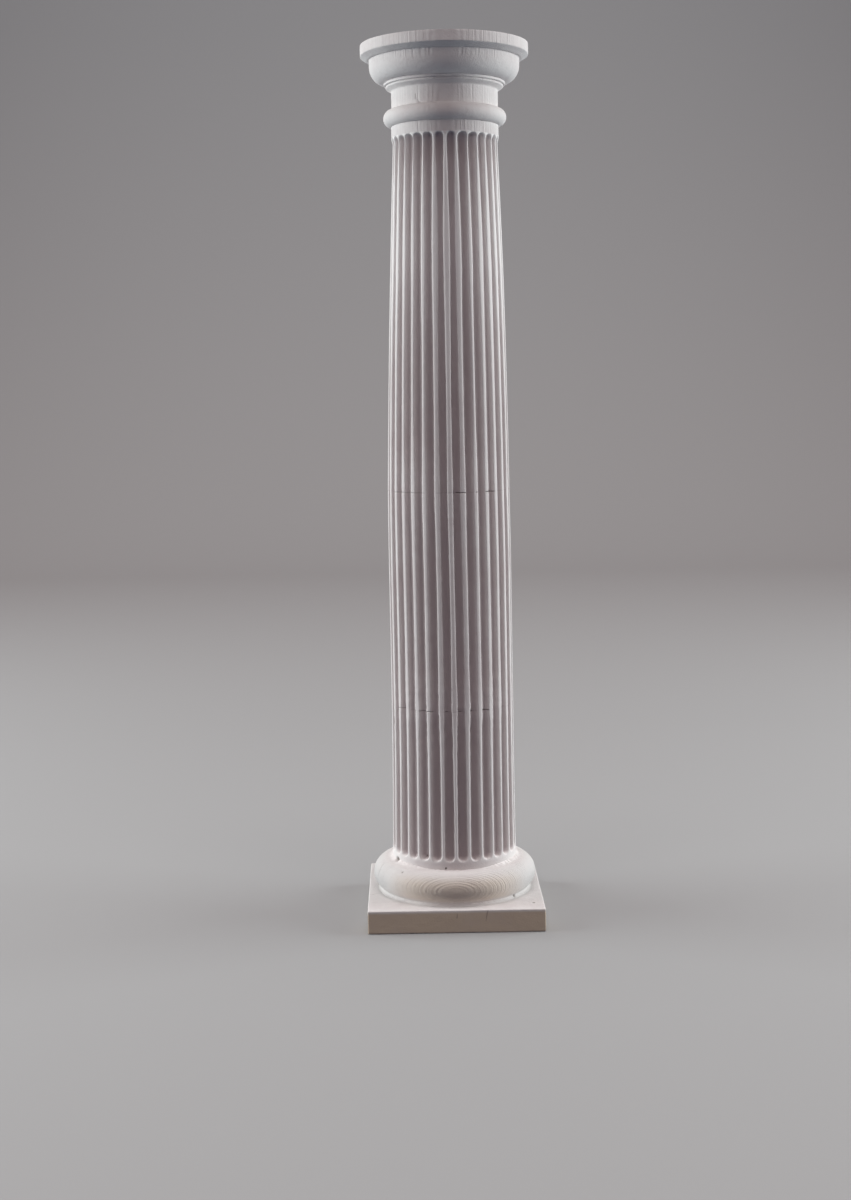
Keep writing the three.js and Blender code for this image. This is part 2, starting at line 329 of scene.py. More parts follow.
class Tree:
    """A node tree that is written node by node."""

    def __init__(self, tree):
        self.tree = tree

    def add(self, kind, settings=None, values=(), output=0):
        node = self.tree.nodes.new(kind)
        for name, setting in (settings or {}).items():
            if name == "points":
                self.set_points(node.mapping, setting)
            else:
                setattr(node, name, setting)
        pairs = values.items() if isinstance(values, dict) else enumerate(values)
        for key, value in pairs:
            if isinstance(value, Term):
                self.tree.links.new(value.socket, node.inputs[key])
            else:
                node.inputs[key].default_value = value
        return Term(self, node.outputs[output]) if node.outputs else node

    def set_points(self, mapping, points):
        curve = mapping.curves[0]
        while len(curve.points) < len(points):
            curve.points.new(0.5, 0.5)
        for point, (x, y) in zip(curve.points, points):
            point.location = (x, y)
        mapping.update()

    def maths(self, operation, *values):
        return self.add("ShaderNodeMath", {"operation": operation}, values)

    def scaled(self, vector, scale):
        settings = {"operation": "SCALE"}
        return self.add("ShaderNodeVectorMath", settings, {"Vector": vector, "Scale": scale})

    def joined(self, x, y, z):
        return self.add("ShaderNodeCombineXYZ", None, [x, y, z])

    def split(self, vector):
        return self.add("ShaderNodeSeparateXYZ", None, [vector])

    def layer(self, name):
        """An attribute that was stored in the mesh."""
        return self.add("ShaderNodeAttribute", {"attribute_name": name}).output("Fac")

    def noise(self, vector, scale, detail=2.0, roughness=0.5):
        values = {"Vector": vector, "Scale": scale, "Detail": detail, "Roughness": roughness}
        return self.add("ShaderNodeTexNoise", None, values)

    def mixed(self, factor, first, second):
        """A colour between two colours."""
        settings = {"data_type": "RGBA"}
        return self.add("ShaderNodeMix", settings, {0: factor, 6: first, 7: second}, 2)


def empty_tree(data):
    """The cleared node tree of a new material or world."""
    data.use_nodes = True
    data.node_tree.nodes.clear()
    return Tree(data.node_tree)


def new_object(name, data):
    made = bpy.data.objects.new(name, data)
    bpy.context.scene.collection.objects.link(made)
    return made


def new_mesh(name, points, faces):
    mesh = bpy.data.meshes.new(name)
    mesh.from_pydata(points, [], faces)
    return mesh


# Fluted shaft

FLUTE_COLUMNS = 12
LAND_COLUMNS = 7
PITCH_COLUMNS = FLUTE_COLUMNS + LAND_COLUMNS
LOWER_ROWS, MIDDLE_ROWS, UPPER_ROWS = 150, 110, 164
SHAFT_SUNK = 0.3 * MM
SHAFT_INTO_COLLAR = 0.4 * MM
ARRIS_SEED = 3.0
SLOW_WAVES = 70
QUICK_WAVES = 620
NARROWED_OVER = 25 * MM
RAGGED_NEAR_JOINT = 6 * MM
ARRIS_FALL = 0.75
LEAN_ZONE = (45 * MM, 135 * MM)
SANDED_ALONG = 0.35
SANDED_SCALE = 260.0
MERGED_WITHIN = 0.002 * MM
SHAFT_INPUTS = [key for key in ShaftSizes.__annotations__ if key != "flute_count"]


def shaft_radius(tree, given, height):
    """Radius of the lands: flare at the foot, belly, entasis, and the rise to the collar."""
    below = (given.belly_height - height) / (given.belly_height - given.flute_foot)
    above = (height - given.belly_height) / (given.flute_top - given.belly_height)
    flare = (given.foot_radius - given.belly_radius) * below.limited() ** given.foot_flare
    taper = (given.belly_radius - given.top_radius) * above.largest(0.0) ** given.entasis
    rise = height.eased(given.flute_top - given.collar_rise, given.flute_top)
    return given.belly_radius + flare - taper + given.collar_step * rise


def arris_place(tree, given, height, arris):
    """Half width of a flute at one of its arrises, as a share of the pitch."""
    curve = [(z / FLUTE_WIDTHS[-1][0], width) for z, width in FLUTE_WIDTHS]
    width = tree.add("ShaderNodeFloatCurve", {"points": curve},
                     {"Value": height / COLUMN_TOP})
    arris_id = arris.remainder(2 * given.count) * 7.31
    slow_place = tree.joined(arris_id, height * SLOW_WAVES, given.seed)
    slow = tree.noise(slow_place, 1.0, 1.0) - 0.5
    quick_place = tree.joined(arris_id, height * QUICK_WAVES, given.seed + 40)
    quick = tree.noise(quick_place, 1.0, 2.0) - 0.5
    around = (arris * 0.5 + 0.5) * (TURN / given.count)
    for azimuth, local in NARROW_LANDS:
        facing = (around - math.radians(azimuth)).cosine().largest(0.0) ** local
        risen = height.eased(UPPER_JOINT, UPPER_JOINT + NARROWED_OVER)
        width = width + NARROWED_BY * facing * risen
    far = (height - LOWER_JOINT) / RAGGED_NEAR_JOINT
    ragged = 0.6 + 2.2 / (1 + far * far)
    return width / 2 + given.wobble * (slow + quick * ragged)


def row_heights(tree, given, row):
    """Height of a row of vertices, close together at both ends, and whether it is a pole."""
    last = given.rows - 1
    t = ((row - 1) / (last - 2)).limited()
    low = t ** 1.5
    high = (1 - t) ** 1.5
    height = given.low + (given.high - given.low) * (low / (low + high))
    pole = (row < 0.5).largest(row > last - 0.5)
    return height, pole


def flute_inset(tree, given, along, half_width, height):
    """How deep the surface lies under the lands, from the distance to the flute's middle line."""
    to_end = (height - given.flute_foot).smallest(given.flute_top - height)
    into_end = (half_width - to_end).largest(0.0)
    distance = (along * along + into_end * into_end).largest(0.0).square_root()
    outside = distance - half_width
    power = given.squareness
    depth = (1 - (distance / half_width).smallest(1.0) ** power) ** (1 / power)
    depth = depth * half_width * given.depth_share
    edge = given.arris_radius
    on_land = 1 - (outside / edge).limited()
    fall = on_land * on_land * edge * ARRIS_FALL
    return (outside > 0).either(fall, depth.largest(0.0) + edge * ARRIS_FALL)


def fluted_tree():
    """A closed length of fluted shaft between two heights, laid out from a plain grid."""
    group = bpy.data.node_groups.new("Fluted length", "GeometryNodeTree")
    kinds = dict.fromkeys(("low", "high", "seed", *SHAFT_INPUTS), "NodeSocketFloat")
    kinds.update(rows="NodeSocketInt", count="NodeSocketInt", plaster="NodeSocketMaterial")
    for name, kind in kinds.items():
        group.interface.new_socket(name=name, in_out="INPUT", socket_type=kind)
    group.interface.new_socket(name="length", in_out="OUTPUT", socket_type="NodeSocketGeometry")

    tree = Tree(group)
    sockets = tree.add("NodeGroupInput").socket.node.outputs
    given = SimpleNamespace(**{s.name: Term(tree, s) for s in sockets if s.name})

    columns = given.count * PITCH_COLUMNS
    grid = tree.add("GeometryNodeMeshGrid", None, [1.0, 1.0, columns + 1, given.rows])
    place = tree.split(tree.add("GeometryNodeInputPosition"))
    column = ((place.output("X") + 0.5) * columns).rounded()
    row = ((place.output("Y") + 0.5) * (given.rows - 1)).rounded()
    height, pole = row_heights(tree, given, row)

    flute = ((column + 0.5) / PITCH_COLUMNS).floored()
    step = column - flute * PITCH_COLUMNS
    left = arris_place(tree, given, height, flute * 2)
    right = arris_place(tree, given, height, flute * 2 + 1)
    next_left = arris_place(tree, given, height, flute * 2 + 2)

    across = (step * (math.pi / FLUTE_COLUMNS)).cosine() * -1
    in_flute = across * (across < 0).either(left, right)
    on_land = ((step - FLUTE_COLUMNS) / LAND_COLUMNS).limited()
    spread = on_land.eased(0.0, 1.0)
    past_flute = right + spread * (1 - next_left - right)
    offset = (step < FLUTE_COLUMNS + 0.5).either(in_flute, past_flute)

    pitch = TURN / given.count
    azimuth = (flute + 0.5 + offset) * pitch
    turned = height.eased(*LEAN_ZONE)
    azimuth = azimuth + given.spread * (0.5 + 0.5 * azimuth.sine()) - given.lean * turned
    radius = shaft_radius(tree, given, height)
    nearer_next = offset > 0.5
    along = nearer_next.either(1 - offset, offset) * pitch * radius
    edge_share = nearer_next.either(next_left, (offset < 0).either(left, right))
    half_width = edge_share * pitch * radius - given.arris_radius * 0.1
    inset = flute_inset(tree, given, along, half_width, height)

    heading = tree.joined(azimuth.sine(), azimuth.cosine() * -1, 0.0)
    sanded_at = tree.add("ShaderNodeVectorMath", {"operation": "ADD"}, [
        tree.scaled(heading, radius), tree.joined(0.0, 0.0, height * SANDED_ALONG)])
    sanded = tree.noise(sanded_at, SANDED_SCALE, 2.0) - 0.5
    worn = radius - inset - given.unevenness * (sanded + 0.5).largest(0.0)
    reach = worn * (1 - pole)

    moved = tree.add("GeometryNodeSetPosition", None, {
        "Geometry": grid,
        "Position": tree.joined(azimuth.sine() * reach, azimuth.cosine() * reach * -1, height),
    })
    merged = tree.add("GeometryNodeMergeByDistance", None,
                      {"Geometry": moved, "Distance": MERGED_WITHIN})
    realized = tree.add("GeometryNodeRealizeInstances", None, {"Geometry": merged})
    finished = tree.add("GeometryNodeSetMaterial", None,
                        {"Geometry": realized, "Material": given.plaster})
    tree.add("NodeGroupOutput", None, {"length": finished})
    return group


def fluted_mesh(name, low, high, rows, sizes, plaster):
    """Runs the fluted tree for one length and returns its plain mesh."""
    carrier = new_object(name + "_carrier", bpy.data.meshes.new(name + "_carrier"))
    modifier = carrier.modifiers.new("Flutes", "NODES")
    modifier.node_group = bpy.data.node_groups.get("Fluted length") or fluted_tree()
    values = {key: getattr(sizes, key) for key in SHAFT_INPUTS}
    values.update(low=low, high=high, rows=rows, seed=ARRIS_SEED, count=sizes.flute_count,
                  plaster=plaster)
    for item in modifier.node_group.interface.items_tree:
        if item.in_out == "INPUT":
            modifier[item.identifier] = values[item.name]
    carrier.update_tag()
    graph = bpy.context.evaluated_depsgraph_get()
    mesh = bpy.data.meshes.new_from_object(carrier.evaluated_get(graph))
    mesh.name = name
    bpy.data.objects.remove(carrier)
    return mesh


# Turned mouldings and the plinth

OUTLINE_STEP = 0.13 * MM
TORUS_SOFTNESS = 0.06 * MM
TORUS_SEGMENTS = 420
CAPITAL_SOFTNESS = 0.07 * MM
CAPITAL_SEGMENTS = 400
FLAT_SHARE = 0.54
FLAT_STRIDE = 8
PLINTH_STEP = 0.26 * MM

# Places on the plinth in mm, along X and Y, where the grid is closer for a flaw
CLOSER_X = (5.1, 0.0, 13.4, 8.8, 9.6)
CLOSER_Y = (-11.5, -9.8, -8.9, -5.2, -4.4)


def arc(centre, radii, start, end, steps):
    """Points of an elliptical arc, angles in quarter turns from straight out."""
    points = []
    for step in range(steps + 1):
        angle = (start + (end - start) * step / steps) * math.pi / 2
        points.append((centre[0] + radii[0] * math.cos(angle),
                       centre[1] + radii[1] * math.sin(angle)))
    return points


def softened(outline, spacing, softness):
    """The outline in even steps, with its corners worn round, its two ends kept."""
    points = np.array(outline, float)
    steps = np.hypot(*np.diff(points, axis=0).T)
    run = np.concatenate([[0], np.cumsum(steps)])
    count = int(run[-1] / spacing)
    places = np.linspace(0, run[-1], count + 1)
    even = np.column_stack([np.interp(places, run, points[:, 0]),
                            np.interp(places, run, points[:, 1])])
    reach = max(1, int(round(3 * softness / spacing)))
    weights = np.exp(-0.5 * (np.arange(-reach, reach + 1) * spacing / softness) ** 2)
    weights /= weights.sum()
    first = 2 * even[0] - even[reach:0:-1]
    last = 2 * even[-1] - even[-2:-reach - 2:-1]
    padded = np.vstack([first, even, last])
    return np.column_stack([np.convolve(padded[:, axis], weights, "valid") for axis in (0, 1)])


def thinned(outline):
    """The outline with few points near the axis, where the faces are flat and hidden."""
    inside = outline[:, 0] < FLAT_SHARE * outline[:, 0].max()
    last = len(outline) - 1
    kept = [i for i in range(1, last) if not inside[i] or i % FLAT_STRIDE == 0]
    return outline[[0, *kept, last]]


def turned_mesh(name, outline, segments):
    """A closed turned body from an outline that starts and ends on the axis."""
    rings = outline[1:-1]
    angles = np.arange(segments) * TURN / segments
    radius = np.repeat(rings[:, 0], segments)
    height = np.repeat(rings[:, 1], segments)
    azimuth = np.tile(angles, len(rings))
    points = np.column_stack([radius * np.sin(azimuth), -radius * np.cos(azimuth), height])
    foot = len(points)
    points = np.vstack([points, [[0, 0, outline[0][1]], [0, 0, outline[-1][1]]]])
    faces = []
    for row in range(len(rings) - 1):
        for i in range(segments):
            a = row * segments + i
            b = row * segments + (i + 1) % segments
            faces.append((a, b, b + segments, a + segments))
    last = (len(rings) - 1) * segments
    for i in range(segments):
        after = (i + 1) % segments
        faces.append((after, i, foot))
        faces.append((last + i, last + after, foot + 1))
    return new_mesh(name, points.tolist(), faces)


def torus_outline(sizes):
    half = sizes.torus_height / 2
    centre = (sizes.torus_radius - half, sizes.plinth_height + half)
    hidden = sizes.plinth_height - 0.4 * MM
    foot = math.asin((sizes.foot_fill - half) / half) / (math.pi / 2)
    wall = centre[0] + half * math.cos(foot * math.pi / 2)
    fill = (sizes.foot_fill * 0.8, sizes.foot_fill)
    corner = (wall + fill[0], sizes.plinth_height + fill[1])
    return [
        (0, hidden),
        (wall + fill[0], hidden),
        *arc(corner, fill, -1, -2, 10),
        *arc(centre, (half, half), foot, 1, 40),
        (0, sizes.plinth_height + sizes.torus_height),
    ]


def capital_outline(sizes):
    """Collar, bead, neck, annulets, ovolo and abacus, from the collar's foot upwards."""
    soffit = COLUMN_TOP - sizes.abacus_height - sizes.slant_height
    band_foot = soffit - sizes.band_height
    ovolo_foot = band_foot - sizes.curve_height
    first_foot = ovolo_foot - sizes.first_height
    second_foot = first_foot - sizes.second_height
    neck_top = second_foot - sizes.cove_height
    bead_top = neck_top - sizes.neck_height
    bead_foot = bead_top - sizes.bead_height
    collar_foot = bead_foot - sizes.collar_height
    bead_middle = (bead_top + bead_foot) / 2
    bead_half = sizes.bead_height / 2
    swell = sizes.ovolo_radius - sizes.first_annulet
    lip = sizes.bead_radius - sizes.neck_radius
    return [
        (0, collar_foot),
        (sizes.collar_radius, collar_foot),
        (sizes.collar_radius, bead_foot),
        *arc((sizes.bead_radius - lip, bead_middle), (lip, bead_half), -1, 1, 16),
        (sizes.neck_radius, neck_top),
        (sizes.second_annulet, second_foot),
        (sizes.second_annulet, first_foot - 0.06 * MM),
        (sizes.second_annulet - 0.12 * MM, first_foot),
        (sizes.first_annulet, first_foot),
        (sizes.first_annulet, ovolo_foot - 0.06 * MM),
        (sizes.first_annulet - 0.12 * MM, ovolo_foot),
        *arc((sizes.first_annulet, band_foot), (swell, sizes.curve_height), -1, 0, 24)[1:],
        (sizes.ovolo_radius, soffit),
        (sizes.ovolo_radius + sizes.soffit_width, soffit),
        (ABACUS_RADIUS, COLUMN_TOP - sizes.abacus_height),
        (ABACUS_RADIUS, COLUMN_TOP),
        (0, COLUMN_TOP),
    ]


def edge_steps(low, high, edge, spacing, closer=()):
    """Grid lines between two faces, closer in the rounding at both ends and at some places."""
    inner = np.linspace(low + edge, high - edge, max(2, int((high - low) / spacing)))
    rounding = edge * np.array([0.0, 0.15, 0.4, 0.7])
    added = [place * MM + np.arange(-6, 7) * 0.07 * MM for place in closer]
    lines = np.concatenate([low + rounding, inner, high - rounding, *added])
    lines = np.unique(np.round(lines[(lines >= low) & (lines <= high)], 7))
    kept = np.concatenate([[True], np.diff(lines) > 0.025 * MM])
    kept[-1] = True
    return lines[kept]


def slab_mesh(name, half, height, edge, spacing):
    """A square slab with rounded edges, on a grid fine enough to be worn."""
    along_x = edge_steps(-half, half, edge, spacing, CLOSER_X)
    along_y = edge_steps(-half, half, edge, spacing, CLOSER_Y)
    rise = edge_steps(0, height, edge, spacing * 0.7)
    patches = []
    for sign in (-1, 1):
        level = height * (sign > 0)
        patches.append((along_x, along_y, lambda u, v, at=level: (u, v, np.full_like(u, at))))
        patches.append((along_x, rise, lambda u, v, s=sign: (u, np.full_like(u, s * half), v)))
        patches.append((along_y, rise, lambda u, v, s=sign: (np.full_like(u, s * half), u, v)))
    points = []
    faces = []
    for across, up, place in patches:
        start = len(points)
        u, v = np.meshgrid(across, up)
        points.extend(np.column_stack([part.ravel() for part in place(u, v)]).tolist())
        width = len(across)
        for row in range(len(up) - 1):
            for i in range(width - 1):
                a = start + row * width + i
                faces.append((a, a + 1, a + width + 1, a + width))
    mesh = new_mesh(name, points, faces)
    body = bmesh.new()
    body.from_mesh(mesh)
    bmesh.ops.remove_doubles(body, verts=body.verts, dist=0.001 * MM)
    bmesh.ops.recalc_face_normals(body, faces=body.faces)
    body.to_mesh(mesh)
    body.free()
    places = read_vertices(mesh, "co")
    lowest = np.array([-half + edge, -half + edge, edge])
    highest = np.array([half - edge, half - edge, height - edge])
    core = np.clip(places, lowest, highest)
    out = places - core
    reach = np.linalg.norm(out, axis=1, keepdims=True)
    outward = np.divide(out, reach, out=np.zeros_like(out), where=reach > 0)
    write_points(mesh, core + outward * edge)
    return mesh


# Wear, worked into the vertices. Pairs in a fade or side are a start and a width, for ramp

JOINT_WIDTH = 0.055 * MM
JOINT_HAIRLINE = 0.025
GAP_FADE = (0.75, 0.25)
RAGGED_LUMPS = 0.25 * MM
SCRATCH_REACH = 8 * MM
CRACK_BEND = 0.10 * MM
FILLER_SIDE = (22, 25)
FILLER_RADIUS = 10.95 * MM
FILLER_INNER = 10.2 * MM
FILLER_LEVEL = 0.4 * MM
SHARP_ANGLE = math.radians(60)

# Sanding waves, slow and fine: depth and size of lumps
PLINTH_WAVES = ((0.07 * MM, 4 * MM), (0.03 * MM, 0.9 * MM))
MOULDING_WAVES = ((0.025 * MM, 3.5 * MM), (0.010 * MM, 0.7 * MM))

# Depths at which dents and gaps are dirty all through
PLINTH_SOIL = 0.20 * MM
MOULDING_SOIL = 0.14 * MM
DENT_SOIL = 0.16 * MM
GAP_SOIL = 0.11 * MM

# Painted shade in the flutes, darker the deeper they lie: the depth where it starts, its full depth
# in mm and how that grows
RECESS_START = 0.12 * MM
RECESS_DEPTH = 0.75
RECESS_FADE = 0.15
FADED_OVER = 50 * MM
# Painted shade on the front of the shaft's foot: the height it reaches, and the azimuth in degrees
# where it fades round the sides with the width of that fade
FOOT_SHADE_TOP = 11.8 * MM
FOOT_SHADE_FRONT = (38, 25)


def read_vertices(mesh, key):
    """The place (co) or the normal of every vertex."""
    values = np.empty(len(mesh.vertices) * 3, np.float32)
    mesh.vertices.foreach_get(key, values)
    return values.reshape(-1, 3).astype(float)


def write_points(mesh, points):
    mesh.vertices.foreach_set("co", np.asarray(points, np.float32).ravel())
    mesh.update()


def ramp(values, start, width):
    """0 up to a start and 1 from a width beyond it."""
    return np.clip((values - start) / width, 0, 1)


def waves(points, size, seed):
    """Smooth noise between -1 and 1 with lumps of about one size."""
    shift = Vector((seed * 3.7, seed * 1.9, seed * 5.3))
    return np.array([noise.noise(Vector(point) / size + shift) for point in points])


def sanding(points, sizes, seed):
    """Depth of the slow and fine waves that hand sanding left."""
    return sum(depth * (0.5 + 0.5 * waves(points, size, seed + i))
               for i, (depth, size) in enumerate(sizes))


def polar(points):
    azimuth = np.degrees(np.arctan2(points[:, 0], -points[:, 1]))
    radius = np.hypot(points[:, 0], points[:, 1])
    return azimuth, radius


def hollow(distance):
    """A smooth pit: 1 in the middle, 0 from a distance of 1 on."""
    return np.clip(1 - distance ** 2, 0, 1) ** 1.5


def turn_between(azimuth, other):
    return (azimuth - other + 180) % 360 - 180


def joint_gap(points, joint, gaps):
    """Depth of the open joint at each vertex."""
    azimuth, _ = polar(points)
    ragged = waves(points, 0.35 * MM, 5)
    near = np.exp(-0.5 * ((points[:, 2] - joint) / JOINT_WIDTH) ** 2)
    depth = JOINT_HAIRLINE * (waves(points, 0.9 * MM, 9) > -0.05)
    for middle, half, deep in gaps:
        away = np.abs(turn_between(azimuth, middle)) / half
        depth = np.maximum(depth, deep * (1 - ramp(away, *GAP_FADE)))
    return near * depth * (0.85 + 0.3 * ragged) * MM


def round_dents(points, dents, scratches=()):
    """Depth of the pits, chips and scratches on a round piece at each vertex."""
    azimuth, radius = polar(points)
    ragged = 1 + 0.25 * waves(points, RAGGED_LUMPS, 3)
    depth = np.zeros(len(points))
    for middle, height, half_width, half_height, deep in dents:
        across = np.radians(turn_between(azimuth, middle)) * radius / (half_width * MM)
        up = (points[:, 2] - height * MM) / (half_height * MM)
        depth = np.maximum(depth, hollow(np.hypot(across, up) * ragged) * deep * MM)
    for first, low, second, high, half_width, deep in scratches:
        across = np.radians(turn_between(azimuth, first)) * radius
        flat = np.column_stack([across, points[:, 2] - low * MM])
        near = np.hypot(flat[:, 0], flat[:, 1]) < SCRATCH_REACH
        run = math.radians(second - first) * radius[near].mean() if near.any() else 0
        away = line_distance(flat, np.zeros(2), np.array([run, (high - low) * MM]))
        depth = np.maximum(depth, hollow(away * ragged / (half_width * MM)) * deep * MM)
    return depth


def crease_filler(points):
    """Height of the ragged plaster that fills the crease between shaft and torus."""
    sizes = bpy.context.scene.column_base
    top = sizes.plinth_height + sizes.torus_height
    azimuth, radius = polar(points)
    side = ramp(np.abs(azimuth), *FILLER_SIDE)
    ragged = waves(points, 0.55 * MM, 31) + 0.6 * waves(points, 0.25 * MM, 32)
    reach = (0.45 + 0.45 * side + 0.15 * ragged) * MM
    slope = np.clip(1 - (radius - FILLER_RADIUS) / reach, 0, 1) ** 2
    missing = hollow(turn_between(azimuth, CREASE_CHIP[0]) / CREASE_CHIP[1])
    near = (np.abs(points[:, 2] - top) < FILLER_LEVEL) * (radius > FILLER_INNER)
    return (0.14 + 0.36 * side) * (1 + 0.4 * ragged) * MM * slope * near * (1 - missing)


def line_distance(points, start, end):
    """Distance of each point from a straight line between two others."""
    run = end - start
    along = np.clip((points - start) @ run / max(run @ run, 1e-12), 0, 1)
    return np.linalg.norm(points - start - np.outer(along, run), axis=1)


def plinth_dents(points):
    depth = np.zeros(len(points))
    ragged = 1 + 0.25 * waves(points, RAGGED_LUMPS, 4)
    for x, y, z, half_x, half_y, half_z, deep in PLINTH_DENTS:
        away = (points / MM - (x, y, z)) / (half_x, half_y, half_z)
        depth += hollow(np.linalg.norm(away, axis=1) * ragged) * deep * MM
    for start, end, half_width, deep in PLINTH_SCRATCHES:
        away = line_distance(points, np.array(start) * MM, np.array(end) * MM)
        bend = CRACK_BEND * waves(points, 1.1 * MM, 6)
        depth += hollow(np.abs(away + bend) / (half_width * MM)) * deep * MM
    return depth


def drifted(points):
    """The points moved sideways as the glued lengths sit."""
    heights, drifts = np.array(AXIS_DRIFT).T * MM
    moved = points.copy()
    moved[:, 0] += np.interp(points[:, 2], heights, drifts)
    return moved


def set_layer(mesh, name, values):
    layer = mesh.attributes.new(name, "FLOAT", "POINT")
    layer.data.foreach_set("value", np.clip(values, 0, 1).astype(np.float32))


def finished_piece(name, node, mesh, plaster):
    """Puts a mesh in the scene as the shown surface of a casting."""
    if not mesh.materials:
        mesh.materials.append(plaster)
    mesh.shade_smooth()
    mesh.set_sharp_from_angle(angle=SHARP_ANGLE)
    piece = new_object(name, mesh)
    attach(piece, "root")
    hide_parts(node)


# Plaster. Stretches in mm over which a tint, a painted shade or a painted highlight comes or goes,
# by height, and the front's warm painted shade by depth along Y

HIGHLIGHT_HEAD = (80, 125)
HIGHLIGHT_FOOT = (28, 42)
SLAB_TOP = (3.3, 4.0)
TORUS_SIDE = ((4.3, 5.4), (7.8, 9.8))
DUST_AND_SHADE_TOP = (9.3, 10.2)
OVOLO_CURVE = ((143.2, 143.7), (145.6, 147.0))
BEAD = ((136.4, 136.9), (139.0, 139.5))
FRONT_SHADE = (-13.5, -7.0)
HOLES_BEHIND = 3.0
HOLE_SCALE = 0.52
HOLE_RARITY = 0.965


def pinholes(tree, place):
    """Sparse air bubbles: a mask that is 1 in each hole."""
    cells = tree.add("ShaderNodeTexVoronoi", {"feature": "F1"},
                     {"Vector": place, "Scale": HOLE_SCALE, "Randomness": 1.0})
    chance = tree.add("ShaderNodeSeparateColor", None, [cells.output("Color")])
    chosen = chance.output("Red") > HOLE_RARITY
    size = 0.07 + chance.output("Green") * 0.10
    return (1 - (cells / size)).limited().eased(0.0, 0.5) * chosen


def plaster_material(name, look, layers):
    """Sanded cast plaster. Layers is how strongly the printed master's steps show."""
    material = bpy.data.materials.new(name)
    tree = empty_tree(material)
    place = tree.scaled(tree.add("ShaderNodeTexCoord").output("Object"), 1 / MM)
    parts = tree.split(place)
    depth = parts.output("Y")
    height = parts.output("Z")
    soil = tree.layer("soil")
    holes = pinholes(tree, place) * (depth > HOLES_BEHIND)

    cloud = tree.noise(place, 0.16, 3.0, 0.55).eased(0.40, 0.66)
    speck = tree.noise(place, 2.2, 2.0, 0.6).eased(0.50, 0.72)
    tint = tree.mixed(cloud * 0.5 + speck * 0.3, look.clean, look.dull)
    # Painted highlight: the shaft lighter near its head and foot, showing on the lands
    sanded = height.eased(*HIGHLIGHT_HEAD) * 0.9 + (1 - height.eased(*HIGHLIGHT_FOOT)) * 0.6
    tint = tree.mixed(sanded * (1 - layers), tint, look.fresh)
    # Painted shade: the flutes darker the deeper they lie, and the front of the shaft's foot darker
    tint = tree.mixed(tree.layer("recess"), tint, look.recess)
    # Warm painted shade on the front of the plinth and torus, with a stain all round the plinth's
    # sides
    slab_side = 1 - height.eased(*SLAB_TOP)
    torus_side = height.between(*TORUS_SIDE)
    front_shade = 1 - depth.eased(*FRONT_SHADE)
    # Grey dust and painted shade over the base and the shaft's foot, less at the front
    dusted_and_shaded = (0.7 - 0.35 * front_shade) * (1 - height.eased(*DUST_AND_SHADE_TOP))
    tint = tree.mixed(dusted_and_shaded, tint, look.dust)
    stained_and_shaded = (slab_side * (0.3 + 0.7 * front_shade)).largest(torus_side * front_shade * 0.6)
    tint = tree.mixed(stained_and_shaded, tint, look.stain)
    grain = tree.noise(place, 3.6, 3.0, 0.6) - 0.5
    lumps = tree.noise(place, 0.9, 2.0, 0.5) - 0.5
    waver = tree.noise(place, 0.06, 1.0) * 0.3
    steps = tree.add("ShaderNodeTexNoise", {"noise_dimensions": "1D"}, {
        "W": depth + waver, "Scale": MM / look.layer_height, "Detail": 1.0, "Roughness": 0.7,
    }) - 0.5
    patches = tree.noise(place, 0.35, 2.0).eased(0.35, 0.65)
    upright = 1 - height.between(*OVOLO_CURVE)
    bead = height.between(*BEAD)
    layered = (0.5 + patches * 0.5) * upright * (1 - bead * 0.8) * layers
    # Painted shade: darker lines along the printed steps, in the recess shade colour
    tint = tree.mixed(steps.eased(-0.05, 0.22) * layered * 0.22, tint, look.recess)
    dirty = soil.largest(holes * 0.8)
    colour_out = tree.mixed(dirty, tint, look.soil)

    grain_depth = look.grain_depth / MM
    relief = (grain * grain_depth + lumps * (grain_depth * 1.5) - holes * 0.05
              + steps * layered * (look.layer_depth / MM))
    bump = tree.add("ShaderNodeBump", None,
                    {"Strength": 1.0, "Distance": MM, "Height": relief}, "Normal")
    rough = tree.noise(place, 0.4, 2.0) * 0.1 + (look.roughness - 0.05)

    shader = tree.add("ShaderNodeBsdfPrincipled", None, {
        "Base Color": colour_out, "Roughness": rough, "Normal": bump,
        "Specular IOR Level": 0.35, "IOR": 1.5,
    })
    tree.add("ShaderNodeOutputMaterial", None, {"Surface": shader})
    return material


def plaster_for(name, layers):
    made = bpy.data.materials.get(name)
    return made or plaster_material(name, bpy.context.scene.column_plaster, layers)


# Operators

class COLUMN_OT_plinth(bpy.types.Operator):
    """Makes the square plinth with its bubbles, crack and worn edges"""

    bl_idname = "column.plinth"
    bl_label = "Plinth"

    def execute(self, context):
        sizes = context.scene.column_base
        mesh = slab_mesh("plinth", PLINTH_HALF, sizes.plinth_height, sizes.plinth_edge,
                         PLINTH_STEP)
        points = read_vertices(mesh, "co")
        normals = read_vertices(mesh, "normal")
        dents = plinth_dents(points)
        standing = ramp(points[:, 2], 0, 0.2 * MM)
        inset = sanding(points, PLINTH_WAVES, 11) * standing + dents
        write_points(mesh, points - normals * inset[:, None])
        set_layer(mesh, "soil", dents / PLINTH_SOIL)
        finished_piece("plinth", "lower_piece", mesh, plaster_for("moulded_plaster", 1.0))
        return {"FINISHED"}


class COLUMN_OT_torus(bpy.types.Operator):
    """Makes the torus between the plinth and the shaft"""

    bl_idname = "column.torus"
    bl_label = "Torus"

    def execute(self, context):
        outline = torus_outline(context.scene.column_base)
        make_moulding("torus", "lower_piece", outline, TORUS_SOFTNESS, TORUS_SEGMENTS)
        return {"FINISHED"}


class COLUMN_OT_capital(bpy.types.Operator):
    """Makes the capital from its collar up to the round abacus"""

    bl_idname = "column.capital"
    bl_label = "Capital"

    def execute(self, context):
        outline = capital_outline(context.scene.column_capital)
        make_moulding("capital", "upper_piece", outline, CAPITAL_SOFTNESS, CAPITAL_SEGMENTS)
        return {"FINISHED"}


